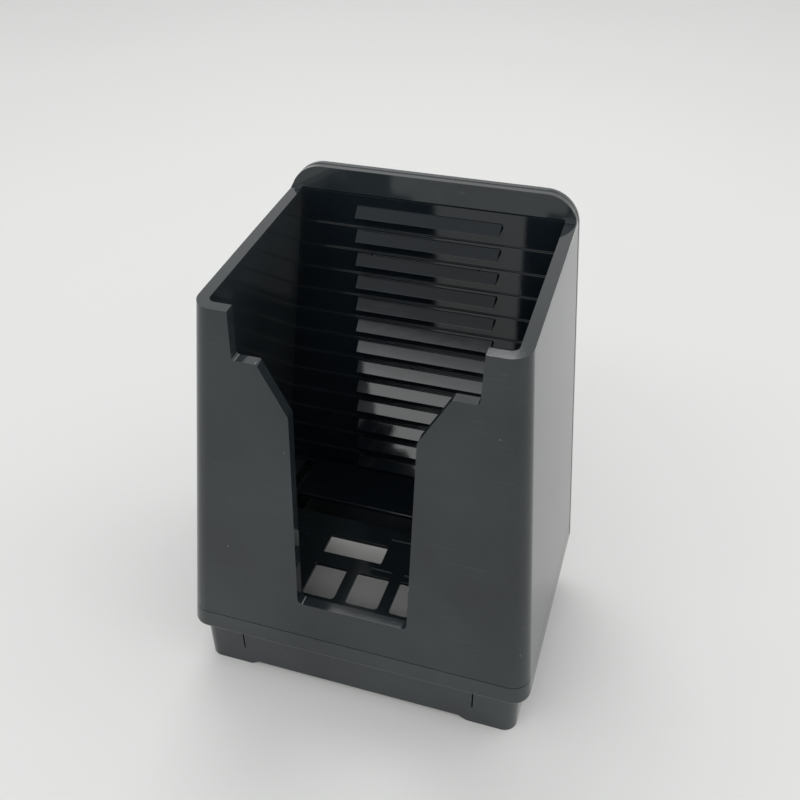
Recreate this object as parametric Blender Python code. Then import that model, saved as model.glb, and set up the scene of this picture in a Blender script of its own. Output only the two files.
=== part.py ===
"""Card dealing shoe: a flared, leaning card bin with a toothed back wall on a low plinth.

Run with: blender --background --python part.py

Frame: origin on the table, under the middle of the whole shoe. +X is the user's right, -Y is
the front, where the finger slot is, and +Z is up. Every length below is in millimetres, and MM
turns it into Blender's metres when a mesh is made.
"""

import math

import bmesh
import bpy
from mathutils import Matrix, Vector

MM = 0.001
GAP = 0.3

# Body planes: side, front and back faces all move evenly with height above the seam.
SEAM_Z = 28.5
SEAM_HALF_WIDTH = 66.1
SIDE_FLARE = 0.091
SEAM_FRONT_Y = -51.8
FRONT_LEAN = 0.124
SEAM_WALL_Y = 34.6
BACK_LEAN = 0.089
CORNER_RADIUS = 7.0
BACK_CORNER_RADIUS = 1.0

# Outer shell
SIDE_THICKNESS = 4.3
FRONT_THICKNESS = 4.0
FLANGE_SETBACK = 0.5
POCKET_SETBACK = 1.75
SHELL_BACK = 3.0
RIM_FRONT_Z = 157.2
RIM_SLOPE = 0.052
RIM_BACK_Z = 161.5
FACET = 1.3
FLANGE_TOP_Z = 170.35
FLANGE_CORNER = 12.2
BOSS_X = (52.8, 62.6)
BOSS_Y = ((-48.9, -39.7), (23.9, 34.6))
BOSS_TOP_Z = 36.0
BOSS_LIFT = 0.1
PILOT_COVER = 1.6
SHELL_SOFT = 0.55

# Front cut-out, half of it, from the top down
EAR_TOP_X = 41.5
EAR_FOOT_X = 40.8
NOTCH_Z = 140.4
NOTCH_X = 32.2
SLOT_TOP_X = 21.8
SLOT_TOP_Z = 122.8
SLOT_FOOT_X = 20.85
SLOT_FOOT_Z = 44.2
EAR_FOOT_RADIUS = 1.4
NOTCH_RADIUS = 1.2
SLOT_TOP_RADIUS = 4.0
SLOT_FOOT_RADIUS = 2.0

# Toothed back panel
ROWS = 13
ROW_PITCH = 9.41
FIRST_TOOTH_Z = 157.66
TOOTH_HEIGHT = 3.45
TOOTH_REACH = 4.0
TOOTH_LIP = 0.35
TOOTH_ROOT = 0.6
TOOTH_UNDERCUT = 0.4
TOOTH_HALF_WIDTH = 27.4
BAND_ABOVE_TOOTH = 0.85
BAND_BELOW_TOOTH_TOP = 4.26
LEDGE = 0.9
LEDGE_RISE = 0.4
PANEL_BACK = 1.45
PANEL_SOFT = 0.18
PANEL_SOFT_LIMIT = 40.0

# Back cover
COVER_FRONT = 3.3
COVER_BACK = 5.5
COVER_TOP_Z = 170.7
COVER_FOOT_Z = 21.2
COVER_CORNER = 12.5
COVER_SOFT = 0.7

# Card floor and rear platform
FLOOR_Z = 39.5
FLOOR_THICKNESS = 1.3
FLOOR_HALF_WIDTH = 60.0
FLOOR_FRONT_Y = -45.9
FLOOR_BACK_Y = 1.7
SKIRT = 2.0
FLOOR_SOFT = 0.3
HOLE_WIDTH = 12.8
HOLE_FRONT_RADIUS = 1.6
HOLE_BACK_RADIUS = 0.5
HOLE_PITCH = 17.2
HOLE_FRONT_Y = -40.6
HOLE_BACK_Y = -24.9
REAR_HOLE = (-23.4, 0.6, -18.3, -8.5)
FLOOR_RIBS = ((-2.2, 6.2, -21.2), (11.2, 24.0, -21.2), (0.5, 24.0, -4.3))
RIB_WIDTH = 0.7
RIB_HEIGHT = 0.45
PLATFORM_HALF_WIDTH = 46.8
PLATFORM_FRONT_Y = 10.4
PLATFORM_BACK_Y = 34.5
PLATFORM_SOFT = 0.5

# Base tray: the band under the seam, with the plate that the floor parts stand on
TRAY_FOOT_Z = 20.5
TRAY_EDGE_RADIUS = 1.5
TRAY_OPENING = (-49.0, 49.0, -41.3, 8.6)
TRAY_OPENING_RADIUS = 4.0

# Plinth
PLINTH_HALF_WIDTH = 62.8
PLINTH_FRONT_Y = -49.7
PLINTH_BACK_Y = 33.9
PLINTH_TOP_Z = TRAY_FOOT_Z - GAP
PLINTH_WALL = 2.6
PLINTH_CORNER = 5.0
PLINTH_SOFT = 0.3
CORE_CORNER = 2.4
FOOT_INNER_X = 44.2
FOOT_INNER_Y = 25.0
FOOT_HEIGHT = 1.94
FOOT_SLANT = 3.0
TAB_FOOT_Z = 16.6
TAB_SIZE = 15.0
TAB_LEDGE = 0.4
SLIT_X = 46.2
SLIT_FOOT_Z = 8.9
SLIT_WIDTH = 0.5
REAR_ARCH_Z = 15.0
REAR_ARCH_RADIUS = 3.0

# Screws
SCREW_SHANK = 1.5
SCREW_HEAD = 3.0
SCREW_HEAD_HEIGHT = 1.8
BASE_SCREW_X = 56.2
BASE_SCREW_Y = (-43.1, 27.3)
BASE_SCREW_LENGTH = 18.0
REAR_SCREW_X = 21.0
REAR_SCREW_ROWS = (2, 10)
REAR_SCREW_LENGTH = 6.0
REAR_SCREW_LIFT = 1.9
REAR_SHANK = 1.0
REAR_HEAD = 2.2
REAR_HEAD_HEIGHT = 1.3

# Screw shape, as shares of the shank's or head's size
TIP_SHARE = 0.4
RIM_SHARE = 0.5
RECESS_ARM = 0.12
RECESS_REACH = 0.5
RECESS_FLOOR = 0.35

ARC_STEPS = 6
TOP_ARC_STEPS = 9
ROUND_SIDES = 20
SHARP_ANGLE = 30.0

# Cutters run PAST a face to clear it, and FAR to clear the whole shoe.
PAST = 5.0
FAR = 90.0
SHOULDER_DROP = 12.0


def half_width(z):
    """Half the body's outer width at height z."""
    return SEAM_HALF_WIDTH - SIDE_FLARE * (z - SEAM_Z)


def front_y(z):
    """Y of the body's outer front face at height z."""
    return SEAM_FRONT_Y + FRONT_LEAN * (z - SEAM_Z)


def wall_y(z):
    """Y of the toothed panel's front plane at height z."""
    return SEAM_WALL_Y + BACK_LEAN * (z - SEAM_Z)


# ---------------------------------------------------------------- outlines


def rounded_polygon(corners, steps=ARC_STEPS):
    """Points of a polygon whose corners (a, b, radius) are rounded where radius > 0."""
    points = []
    count = len(corners)
    for index, (a, b, radius) in enumerate(corners):
        here = Vector((a, b))
        if radius <= 0:
            points.append(tuple(here))
            continue
        before = Vector(corners[index - 1][:2]) - here
        after = Vector(corners[(index + 1) % count][:2]) - here
        before.normalize()
        after.normalize()
        half_angle = before.angle(after) / 2
        centre = here + (before + after).normalized() * (radius / math.sin(half_angle))
        start = here + before * (radius / math.tan(half_angle)) - centre
        end = here + after * (radius / math.tan(half_angle)) - centre
        turn = start.angle_signed(end)
        for step in range(steps + 1):
            angle = -turn * step / steps
            spun = Matrix.Rotation(angle, 2) @ start
            points.append(tuple(centre + spun))
    return points


def rectangle(x0, x1, y0, y1, radius=0.0, back_radius=None):
    """Outline of a rectangle, with one radius at its front and another at its back."""
    back = radius if back_radius is None else back_radius
    return rounded_polygon([(x0, y0, radius), (x1, y0, radius), (x1, y1, back), (x0, y1, back)])


def body_outline(z, side, front, back, inset=0.0):
    """Section of the body at height z; side, front and back are set-ins from its planes."""
    reach = half_width(z) - side - inset
    front_edge = front_y(z) + front + inset
    back_edge = wall_y(z) + back - inset
    corner = max(CORNER_RADIUS - max(side, front) - inset, 0.6)
    back_corner = BACK_CORNER_RADIUS
    return rectangle(-reach, reach, front_edge, back_edge, corner, back_corner)


def mirrored(half):
    """Close an outline from its right half, given as (x, z, radius) from the top down."""
    return half + [(-x, z, radius) for x, z, radius in reversed(half)]


# ---------------------------------------------------------------- solids


def add_object(name, rings):
    """Make an object from rings of millimetre points, bridged in order and capped."""
    mesh = bpy.data.meshes.new(name)
    body = bmesh.new()
    loops = [[body.verts.new(Vector(point) * MM) for point in ring] for ring in rings]
    for lower, upper in zip(loops, loops[1:]):
        count = len(lower)
        for index in range(count):
            following = (index + 1) % count
            body.faces.new((lower[index], lower[following], upper[following], upper[index]))
    body.faces.new(list(reversed(loops[0])))
    body.faces.new(loops[-1])
    bmesh.ops.recalc_face_normals(body, faces=body.faces)
    body.to_mesh(mesh)
    body.free()
    thing = bpy.data.objects.new(name, mesh)
    bpy.context.scene.collection.objects.link(thing)
    return thing


def prism_x(name, outline, x0, x1):
    """Extrude an outline of (y, z) points from x0 to x1."""
    return add_object(name, [[(x, y, z) for y, z in outline] for x in (x0, x1)])


def prism_y(name, outline, y0, y1):
    """Extrude an outline of (x, z) points from y0 to y1."""
    return add_object(name, [[(x, y, z) for x, z in outline] for y in (y0, y1)])


def prism_z(name, outline, z0, z1):
    """Extrude an outline of (x, y) points from z0 to z1."""
    return add_object(name, [[(x, y, z) for x, y in outline] for z in (z0, z1)])


def loft(name, sections):
    """Join sections, each an outline of (x, y) points and its height, into one solid."""
    return add_object(name, [[(x, y, z) for x, y in outline] for outline, z in sections])


def body_loft(name, z0, z1, side, front, back):
    """Straight loft between the body's sections at z0 and z1."""
    return loft(name, [(body_outline(z, side, front, back), z) for z in (z0, z1)])


def turned(name, profile):
    """Solid of revolution about Z from (radius, z) points, first and last on the axis."""
    mesh = bpy.data.meshes.new(name)
    body = bmesh.new()
    verts = [body.verts.new(Vector((radius, 0, z)) * MM) for radius, z in profile]
    edges = [body.edges.new(pair) for pair in zip(verts, verts[1:])]
    bmesh.ops.spin(
        body,
        geom=verts + edges,
        axis=(0, 0, 1),
        cent=(0, 0, 0),
        steps=ROUND_SIDES,
        angle=math.tau,
        use_duplicate=False,
    )
    bmesh.ops.remove_doubles(body, verts=body.verts, dist=0.01 * MM)
    bmesh.ops.recalc_face_normals(body, faces=body.faces)
    body.to_mesh(mesh)
    body.free()
    thing = bpy.data.objects.new(name, mesh)
    bpy.context.scene.collection.objects.link(thing)
    return thing


# ---------------------------------------------------------------- modifiers


def combine(target, tool, operation="DIFFERENCE"):
    """Boolean the tool with the target and leave the tool as a hidden wire."""
    tool.hide_render = True
    tool.display_type = "WIRE"
    modifier = target.modifiers.new(tool.name, "BOOLEAN")
    modifier.operation = operation
    modifier.solver = "EXACT"
    modifier.object = tool


def soften(target, width, segments=2, limit=35.0):
    """Round every edge sharper than the limit, in degrees."""
    modifier = target.modifiers.new("soft_edges", "BEVEL")
    modifier.width = width * MM
    modifier.segments = segments
    modifier.limit_method = "ANGLE"
    modifier.angle_limit = math.radians(limit)
    modifier.harden_normals = False


def finish(thing, material):
    """Give a sub-part its material and smooth shading with sharp edges kept."""
    thing.data.materials.append(material)
    thing.data.shade_smooth()
    thing.data.set_sharp_from_angle(angle=math.radians(SHARP_ANGLE))


def make_material(name, colour, roughness, metallic):
    """Principled material of one sub-part."""
    material = bpy.data.materials.new(name)
    material.use_nodes = True
    shader = material.node_tree.nodes["Principled BSDF"]
    shader.inputs["Base Color"].default_value = (*colour, 1.0)
    shader.inputs["Roughness"].default_value = roughness
    shader.inputs["Metallic"].default_value = metallic
    return material


# ---------------------------------------------------------------- sub-parts


def front_cutout_outline():
    """Ears, notch, slanting throat and finger slot of the front wall, as (x, z) points."""
    return rounded_polygon(
        mirrored(
            [
                (EAR_TOP_X, RIM_BACK_Z + PAST, 0),
                (EAR_FOOT_X, NOTCH_Z, EAR_FOOT_RADIUS),
                (NOTCH_X, NOTCH_Z, NOTCH_RADIUS),
                (SLOT_TOP_X, SLOT_TOP_Z, SLOT_TOP_RADIUS),
                (SLOT_FOOT_X, SLOT_FOOT_Z, SLOT_FOOT_RADIUS),
            ]
        )
    )


def top_outline(top_z, corner):
    """Outline, in (x, z), of what lies above and beside a round-cornered back wall."""
    foot_z = RIM_BACK_Z - SHOULDER_DROP
    shoulder = half_width(top_z)
    foot = half_width(foot_z)
    right = [
        (shoulder, top_z, corner),
        (foot, foot_z + GAP, 0),
        (foot + PAST, foot_z, 0),
        (FAR, foot_z, 0),
        (FAR, top_z + 2 * PAST, 0),
    ]
    left = [(-x, z, radius) for x, z, radius in reversed(right)]
    return rounded_polygon(left + right, steps=TOP_ARC_STEPS)


def shell_inside(z0, z1):
    """Space inside the shell, deeper where the toothed panel sits than at the flange."""
    heights = (
        (z0, POCKET_SETBACK),
        (RIM_BACK_Z, POCKET_SETBACK),
        (RIM_BACK_Z + LEDGE_RISE, FLANGE_SETBACK),
        (z1, FLANGE_SETBACK),
    )
    sections = [
        (body_outline(z, SIDE_THICKNESS, FRONT_THICKNESS, back), z) for z, back in heights
    ]
    return loft("shell_inside", sections)


def above_rims():
    """All that lies above the rims, with a slanting facet where they meet the flange."""
    end_y = wall_y(RIM_BACK_Z) + FLANGE_SETBACK
    front_z = RIM_FRONT_Z + RIM_SLOPE * (-FAR - front_y(RIM_FRONT_Z))
    outline = [
        (-FAR, front_z),
        (end_y - FACET, RIM_BACK_Z - RIM_SLOPE * FACET),
        (end_y + BACK_LEAN * FACET, RIM_BACK_Z + FACET),
        (wall_y(2 * RIM_BACK_Z) + FLANGE_SETBACK, 2 * RIM_BACK_Z),
        (-FAR, 2 * RIM_BACK_Z),
    ]
    return prism_x("above_rims", outline, -FAR, FAR)


def build_outer_shell(material):
    """Front, sides and back of the bin in one moulding, open above and below."""
    z0 = SEAM_Z + GAP
    z1 = FLANGE_TOP_Z + PAST
    shell = body_loft("outer_shell", z0, z1, 0, 0, SHELL_BACK)
    combine(shell, shell_inside(z0 - PAST, z1 + PAST))
    combine(shell, above_rims())
    above = top_outline(FLANGE_TOP_Z, FLANGE_CORNER)
    combine(shell, prism_y("above_flange", above, 0, FAR))
    combine(shell, prism_y("front_cutout", front_cutout_outline(), -FAR, SEAM_FRONT_Y / 2))
    soften(shell, SHELL_SOFT)
    for side in (-1, 1):
        x0, x1 = sorted(side * x for x in BOSS_X)
        for y0, y1 in BOSS_Y:
            outline = rectangle(x0, x1, y0, y1)
            combine(shell, prism_z("screw_boss", outline, z0 + BOSS_LIFT, BOSS_TOP_Z), "UNION")
    for x, y in base_screw_places():
        hole = circle(x, y, SCREW_SHANK + GAP)
        combine(shell, prism_z("shell_pilot", hole, z0 - PAST, BOSS_TOP_Z - PILOT_COVER))
    for x, z in rear_screw_places():
        combine(shell, rear_drill("shell_drill", x, z))
    finish(shell, material)


def panel_profile():
    """Stepped side view of the toothed panel, as (y, z) points, from the top down."""
    top_z = RIM_BACK_Z - GAP
    foot_z = SEAM_Z + 2 * GAP
    band_y = wall_y(FIRST_TOOTH_Z + BAND_ABOVE_TOOTH)
    points = [(band_y, top_z)]
    for row in range(ROWS):
        tooth_z = FIRST_TOOTH_Z - row * ROW_PITCH
        next_band_z = tooth_z - ROW_PITCH + BAND_ABOVE_TOOTH
        points.append((band_y, tooth_z - BAND_BELOW_TOOTH_TOP))
        band_y = wall_y(next_band_z)
        points.append((band_y + LEDGE, next_band_z))
        points.append((band_y, next_band_z))
    points.append((band_y, foot_z))
    points.append((wall_y(foot_z) + PANEL_BACK, foot_z))
    points.append((wall_y(top_z) + PANEL_BACK, top_z))
    return points


def build_rib_panel(material):
    """Stepped panel behind the cards, with a sawtooth in the middle of each row."""
    reach = SEAM_HALF_WIDTH
    panel = prism_x("rib_panel", panel_profile(), -reach, reach)
    clear = SIDE_THICKNESS + GAP
    low, high = SEAM_Z - PAST, RIM_BACK_Z + PAST
    sides = [
        (-half_width(low) + clear, low),
        (half_width(low) - clear, low),
        (half_width(high) - clear, high),
        (-half_width(high) + clear, high),
    ]
    keep = prism_y("panel_sides", sides, SEAM_WALL_Y / 2, FAR)
    combine(panel, keep, "INTERSECT")
    for row in range(ROWS):
        tooth_z = FIRST_TOOTH_Z - row * ROW_PITCH
        band_y = wall_y(tooth_z + BAND_ABOVE_TOOTH)
        tooth = prism_x(
            f"tooth_{row + 1}",
            [
                (band_y + TOOTH_ROOT, tooth_z),
                (band_y - TOOTH_LIP, tooth_z),
                (band_y - TOOTH_REACH, tooth_z - TOOTH_HEIGHT),
                (band_y + TOOTH_ROOT, tooth_z - TOOTH_HEIGHT + TOOTH_UNDERCUT),
            ],
            -TOOTH_HALF_WIDTH,
            TOOTH_HALF_WIDTH,
        )
        combine(panel, tooth, "UNION")
    soften(panel, PANEL_SOFT, limit=PANEL_SOFT_LIMIT)
    for x, z in rear_screw_places():
        combine(panel, rear_drill("panel_drill", x, z))
    finish(panel, material)


def build_back_cover(material):
    """Flat outer skin of the back wall, with round top corners."""
    cover = loft(
        "back_cover",
        [
            (
                rectangle(
                    -half_width(z), half_width(z), wall_y(z) + COVER_FRONT, wall_y(z) + COVER_BACK
                ),
                z,
            )
            for z in (COVER_FOOT_Z, COVER_TOP_Z + PAST)
        ],
    )
    above = top_outline(COVER_TOP_Z, COVER_CORNER)
    combine(cover, prism_y("above_cover", above, 0, FAR))
    soften(cover, COVER_SOFT)
    for x, z in rear_screw_places():
        combine(cover, rear_drill("cover_drill", x, z))
    finish(cover, material)


def build_floor_grid(material):
    """Raised card floor with three holes in front and one behind, on a skirt."""
    z0 = SEAM_Z + GAP
    floor = prism_z(
        "floor_grid",
        rectangle(-FLOOR_HALF_WIDTH, FLOOR_HALF_WIDTH, FLOOR_FRONT_Y, FLOOR_BACK_Y),
        z0,
        FLOOR_Z,
    )
    underside = prism_z(
        "floor_underside",
        rectangle(
            -FLOOR_HALF_WIDTH + SKIRT,
            FLOOR_HALF_WIDTH - SKIRT,
            FLOOR_FRONT_Y + SKIRT,
            FLOOR_BACK_Y - SKIRT,
        ),
        z0 - PAST,
        FLOOR_Z - FLOOR_THICKNESS,
    )
    combine(floor, underside)
    for side in (-1, 1):
        x0, x1 = sorted((side * (BOSS_X[0] - GAP), side * FAR))
        room = rectangle(x0, x1, -FAR, BOSS_Y[0][1] + GAP)
        combine(floor, prism_z("boss_room", room, z0 - PAST, FLOOR_Z + PAST))
    for number in (-1, 0, 1):
        x0 = number * HOLE_PITCH - HOLE_WIDTH / 2
        x1 = x0 + HOLE_WIDTH
        radii = (HOLE_FRONT_RADIUS, HOLE_BACK_RADIUS)
        outline = rectangle(x0, x1, HOLE_FRONT_Y, HOLE_BACK_Y, *radii)
        combine(floor, prism_z("floor_hole", outline, z0, FLOOR_Z + PAST))
    outline = rectangle(*REAR_HOLE, HOLE_BACK_RADIUS)
    combine(floor, prism_z("rear_floor_hole", outline, z0, FLOOR_Z + PAST))
    for x0, x1, y in FLOOR_RIBS:
        outline = rectangle(x0, x1, y - RIB_WIDTH / 2, y + RIB_WIDTH / 2)
        rib = prism_z("floor_rib", outline, FLOOR_Z - FLOOR_THICKNESS / 2, FLOOR_Z + RIB_HEIGHT)
        combine(floor, rib, "UNION")
    soften(floor, FLOOR_SOFT)
    finish(floor, material)


def build_rear_platform(material):
    """Hollow block that carries the rear edge of the cards."""
    z0 = SEAM_Z + GAP
    block = prism_z(
        "rear_platform",
        rectangle(-PLATFORM_HALF_WIDTH, PLATFORM_HALF_WIDTH, PLATFORM_FRONT_Y, PLATFORM_BACK_Y),
        z0,
        FLOOR_Z,
    )
    hollow = prism_z(
        "platform_hollow",
        rectangle(
            -PLATFORM_HALF_WIDTH + SKIRT,
            PLATFORM_HALF_WIDTH - SKIRT,
            PLATFORM_FRONT_Y + SKIRT,
            PLATFORM_BACK_Y - SKIRT,
        ),
        z0 - PAST,
        FLOOR_Z - FLOOR_THICKNESS,
    )
    combine(block, hollow)
    soften(block, PLATFORM_SOFT)
    finish(block, material)


def build_base_tray(material):
    """Band under the seam with a round lower edge, and the plate inside it."""
    sections = []
    for step in range(ARC_STEPS + 1):
        angle = math.pi / 2 * step / ARC_STEPS
        inset = TRAY_EDGE_RADIUS * (1 - math.sin(angle))
        z = TRAY_FOOT_Z + TRAY_EDGE_RADIUS * (1 - math.cos(angle))
        sections.append((body_outline(z, 0, 0, SHELL_BACK, inset), z))
    sections.append((body_outline(SEAM_Z, 0, 0, SHELL_BACK), SEAM_Z))
    tray = loft("base_tray", sections)
    z0, z1 = TRAY_FOOT_Z - PAST, SEAM_Z + PAST
    opening = rectangle(*TRAY_OPENING, TRAY_OPENING_RADIUS)
    combine(tray, prism_z("tray_opening", opening, z0, z1))
    for x, y in base_screw_places():
        combine(tray, prism_z("tray_hole", circle(x, y, SCREW_SHANK + GAP), z0, z1))
    finish(tray, material)


def foot_gap_outline(inner, centre=0.0):
    """Shallow recess between two feet, with slanting ends, as (a, z) points."""
    return [
        (centre - inner, -PAST),
        (centre + inner, -PAST),
        (centre + inner, 0),
        (centre + inner - FOOT_SLANT, FOOT_HEIGHT),
        (centre - inner + FOOT_SLANT, FOOT_HEIGHT),
        (centre - inner, 0),
    ]


def build_plinth(material):
    """Stand of the shoe: a low wall on four corner feet, with screw tabs in its corners."""
    outline = rectangle(
        -PLINTH_HALF_WIDTH, PLINTH_HALF_WIDTH, PLINTH_FRONT_Y, PLINTH_BACK_Y, PLINTH_CORNER
    )
    plinth = prism_z("plinth", outline, 0, PLINTH_TOP_Z)
    x_in = PLINTH_HALF_WIDTH - PLINTH_WALL
    y_front = PLINTH_FRONT_Y + PLINTH_WALL
    y_back = PLINTH_BACK_Y - PLINTH_WALL
    inner = rectangle(-x_in, x_in, y_front, y_back, CORE_CORNER)
    combine(plinth, prism_z("plinth_core", inner, -PAST, TAB_FOOT_Z))
    x_top = x_in - TAB_LEDGE
    y_near = y_front + TAB_LEDGE
    y_far = y_back - TAB_LEDGE
    between_tabs = [
        (-x_top, y_near + TAB_SIZE),
        (-x_top + TAB_SIZE, y_near),
        (x_top - TAB_SIZE, y_near),
        (x_top, y_near + TAB_SIZE),
        (x_top, y_far - TAB_SIZE),
        (x_top - TAB_SIZE, y_far),
        (-x_top + TAB_SIZE, y_far),
        (-x_top, y_far - TAB_SIZE),
    ]
    z0, z1 = TAB_FOOT_Z - GAP, PLINTH_TOP_Z + PAST
    combine(plinth, prism_z("plinth_upper_core", between_tabs, z0, z1))
    combine(plinth, prism_y("front_foot_gap", foot_gap_outline(FOOT_INNER_X), -FAR, 0))
    middle = (PLINTH_FRONT_Y + PLINTH_BACK_Y) / 2
    combine(plinth, prism_x("side_foot_gap", foot_gap_outline(FOOT_INNER_Y, middle), -FAR, FAR))
    arch = rounded_polygon(
        [
            (-FOOT_INNER_X, -PAST, 0),
            (FOOT_INNER_X, -PAST, 0),
            (FOOT_INNER_X, REAR_ARCH_Z, REAR_ARCH_RADIUS),
            (-FOOT_INNER_X, REAR_ARCH_Z, REAR_ARCH_RADIUS),
        ]
    )
    combine(plinth, prism_y("rear_arch", arch, 0, FAR))
    for side in (-1, 1):
        x0 = side * SLIT_X - SLIT_WIDTH / 2
        outline = rectangle(x0, x0 + SLIT_WIDTH, -FAR, y_near + GAP)
        combine(plinth, prism_z("slit", outline, SLIT_FOOT_Z, z1))
    for x, y in base_screw_places():
        combine(plinth, prism_z("tab_hole", circle(x, y, SCREW_SHANK + GAP), z0 - PAST, z1))
    soften(plinth, PLINTH_SOFT, segments=1)
    finish(plinth, material)


# ---------------------------------------------------------------- screws


def circle(x, y, radius):
    """Outline of a round hole."""
    angles = [math.tau * step / ROUND_SIDES for step in range(ROUND_SIDES)]
    return [(x + radius * math.cos(angle), y + radius * math.sin(angle)) for angle in angles]


def base_screw_places():
    """Plan positions of the four screws that come up through the plinth."""
    return [(side * BASE_SCREW_X, y) for y in BASE_SCREW_Y for side in (-1, 1)]


def rear_screw_places():
    """(x, z) of the four screws behind the thick part of two of the teeth."""
    drop = TOOTH_HEIGHT - REAR_SCREW_LIFT
    heights = [FIRST_TOOTH_Z - row * ROW_PITCH - drop for row in REAR_SCREW_ROWS]
    return [(side * REAR_SCREW_X, z) for z in heights for side in (-1, 1)]


def rear_matrix(x, z, depth):
    """Frame of a rear screw: +Z out of the back, at a depth behind the panel's plane."""
    tilt = math.pi / 2 - math.atan(-BACK_LEAN)
    place = Vector((x, wall_y(z) + depth, z)) * MM
    return Matrix.Translation(place) @ Matrix.Rotation(-tilt, 4, "X")


def rear_drill(name, x, z):
    """Clearance hole for a rear screw, from behind the cover to past the screw's tip."""
    drill = prism_z(name, circle(0, 0, REAR_SHANK + GAP), -REAR_SCREW_LENGTH - GAP, PAST)
    drill.matrix_world = rear_matrix(x, z, COVER_BACK + GAP)
    return drill


def build_screw(name, matrix, length, shank, head, head_height, material):
    """Pan-head screw with its head seat at the frame's origin and its shank down -Z."""
    screw = turned(
        name,
        [
            (0, -length),
            (shank * TIP_SHARE, -length),
            (shank, -length + shank),
            (shank, 0),
            (head, 0),
            (head, head_height * RIM_SHARE),
            (head * 0.85, head_height * 0.85),
            (head * 0.55, head_height),
            (0, head_height),
        ],
    )
    arm = head * RECESS_ARM
    reach = head * RECESS_REACH
    cross = [
        (-arm, -reach),
        (arm, -reach),
        (arm, -arm),
        (reach, -arm),
        (reach, arm),
        (arm, arm),
        (arm, reach),
        (-arm, reach),
        (-arm, arm),
        (-reach, arm),
        (-reach, -arm),
        (-arm, -arm),
    ]
    recess = prism_z(f"{name}_recess", cross, head_height * RECESS_FLOOR, head_height + PAST)
    screw.matrix_world = matrix
    recess.matrix_world = matrix
    combine(screw, recess)
    finish(screw, material)


def build_screws(material):
    """Four screws up through the plinth and four through the back cover."""
    head_down = Matrix.Rotation(math.pi, 4, "X")
    for number, (x, y) in enumerate(base_screw_places(), 1):
        place = Matrix.Translation(Vector((x, y, TAB_FOOT_Z - GAP)) * MM)
        sizes = (BASE_SCREW_LENGTH, SCREW_SHANK, SCREW_HEAD, SCREW_HEAD_HEIGHT)
        build_screw(f"base_screw_{number}", place @ head_down, *sizes, material)
    for number, (x, z) in enumerate(rear_screw_places(), 1):
        sizes = (REAR_SCREW_LENGTH, REAR_SHANK, REAR_HEAD, REAR_HEAD_HEIGHT)
        matrix = rear_matrix(x, z, COVER_BACK + GAP)
        build_screw(f"rear_screw_{number}", matrix, *sizes, material)


def clear_scene():
    """Empty the scene without closing the file that this script runs from."""
    for thing in list(bpy.data.objects):
        bpy.data.objects.remove(thing, do_unlink=True)


def main():
    """Build every sub-part of the shoe."""
    clear_scene()
    gloss = make_material("gloss_black", (0.010, 0.011, 0.012), 0.16, 0.0)
    inner = make_material("inner_black", (0.008, 0.009, 0.010), 0.12, 0.0)
    base = make_material("base_black", (0.012, 0.013, 0.014), 0.24, 0.0)
    steel = make_material("screw_steel", (0.25, 0.25, 0.26), 0.35, 1.0)
    build_outer_shell(gloss)
    build_rib_panel(inner)
    build_back_cover(gloss)
    build_floor_grid(inner)
    build_rear_platform(inner)
    build_base_tray(base)
    build_plinth(base)
    build_screws(steel)


main()
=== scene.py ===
"""Looks of the card dealing shoe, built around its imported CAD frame.

Each moulding and screw is built again here with finer arcs than its CAD node, in the same
place, and takes a procedural material. check_fit stops the script where the boxes of a piece
and its node differ by more than FIT_TOLERANCE. Lengths are in millimetres, in the CAD's frame
(+X the user's right, -Y the front, +Z up), and MM turns them into Blender's metres.
"""

import math

import bmesh
import bpy
from mathutils import Matrix, Vector


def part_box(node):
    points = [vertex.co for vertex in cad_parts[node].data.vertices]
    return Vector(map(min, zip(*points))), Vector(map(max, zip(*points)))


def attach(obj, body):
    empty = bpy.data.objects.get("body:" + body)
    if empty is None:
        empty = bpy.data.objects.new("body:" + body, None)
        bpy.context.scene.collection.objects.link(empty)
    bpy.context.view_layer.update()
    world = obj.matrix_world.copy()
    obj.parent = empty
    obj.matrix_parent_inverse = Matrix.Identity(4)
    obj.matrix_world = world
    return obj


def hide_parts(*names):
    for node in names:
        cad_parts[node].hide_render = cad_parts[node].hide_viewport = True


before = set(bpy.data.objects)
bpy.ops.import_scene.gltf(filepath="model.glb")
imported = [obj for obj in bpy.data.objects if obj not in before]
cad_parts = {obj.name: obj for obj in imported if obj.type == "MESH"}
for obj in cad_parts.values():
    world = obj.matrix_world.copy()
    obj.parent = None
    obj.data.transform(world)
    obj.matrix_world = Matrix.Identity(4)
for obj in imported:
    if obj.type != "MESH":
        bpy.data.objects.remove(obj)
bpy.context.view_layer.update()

MM = 0.001
GAP = 0.3
FIT_TOLERANCE = 0.55
WELD = 0.01

# Body planes: side, front and back faces all move evenly with height above the seam.
SEAM_Z = 28.5
SEAM_HALF_WIDTH = 66.1
SIDE_FLARE = 0.091
SEAM_FRONT_Y = -51.8
FRONT_LEAN = 0.124
SEAM_WALL_Y = 34.6
BACK_LEAN = 0.089
CORNER_RADIUS = 7.0
BACK_CORNER_RADIUS = 1.0
LEAST_CORNER = 0.6

# Outer shell
SIDE_THICKNESS = 4.3
FRONT_THICKNESS = 4.0
FLANGE_SETBACK = 0.5
POCKET_SETBACK = 1.75
SHELL_BACK = 3.0
RIM_FRONT_Z = 157.2
RIM_SLOPE = 0.052
RIM_BACK_Z = 161.5
FACET = 1.3
FLANGE_TOP_Z = 170.35
FLANGE_CORNER = 12.2
BOSS_X = (52.8, 62.6)
BOSS_Y = ((-48.9, -39.7), (23.9, 34.6))
BOSS_TOP_Z = 36.0
BOSS_LIFT = 0.1
PILOT_COVER = 1.6
SHELL_SOFT = 0.55

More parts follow.
